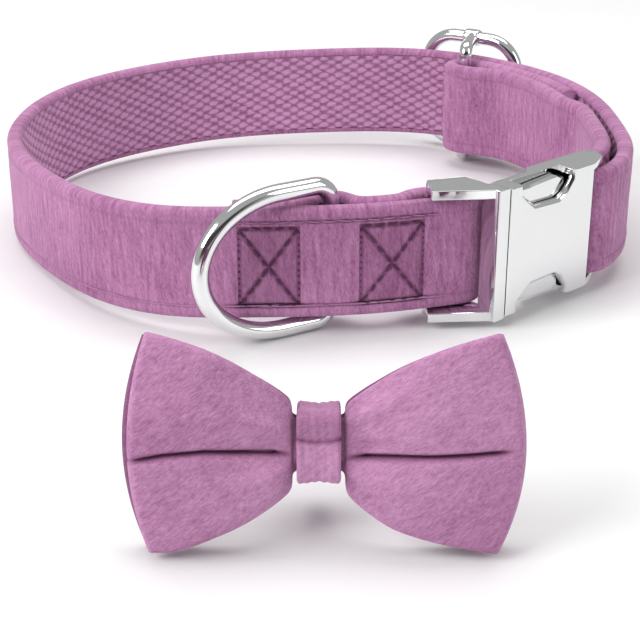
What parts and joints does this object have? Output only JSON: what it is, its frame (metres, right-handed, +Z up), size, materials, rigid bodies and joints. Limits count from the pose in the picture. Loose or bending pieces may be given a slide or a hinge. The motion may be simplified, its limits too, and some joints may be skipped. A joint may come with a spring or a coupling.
{
  "type": "pet bow tie collar",
  "caption": "Fastened velvet pet collar on nylon webbing with a metal side release buckle, a leash ring and a slider, and a matching velvet bow tie standing in front of it.",
  "frame": {"origin": "middle of the footprint, on the surface it rests on", "axes": "+Z up, -Y the side the bow tie and the leash ring face, +X to the buckle's side"},
  "size_m": [0.1534, 0.2282, 0.0369],
  "materials": {
    "velvet": "short pile velvet",
    "bow_velvet": "short pile velvet",
    "webbing": "basket weave",
    "elastic": "knitted elastic",
    "chrome": "polished"
  },
  "bodies": {
    "collar": {"velvet_strap": "velvet", "webbing_strap": "webbing", "slider": "chrome", "buckle_male": "chrome", "buckle_female": "chrome", "bow_front": "bow_velvet", "bow_back": "bow_velvet", "bow_knot": "bow_velvet", "elastic_loop": "elastic"},
    "ring": {"leash_ring": "chrome"}
  },
  "joints": [
    {"name": "ring_swing", "type": "hinge", "parent": "collar", "child": "ring", "pos_m": [0.00409, -0.02036, 0.01744], "axis": [0, 0, 1], "range_deg": [0, 130]}
  ]
}
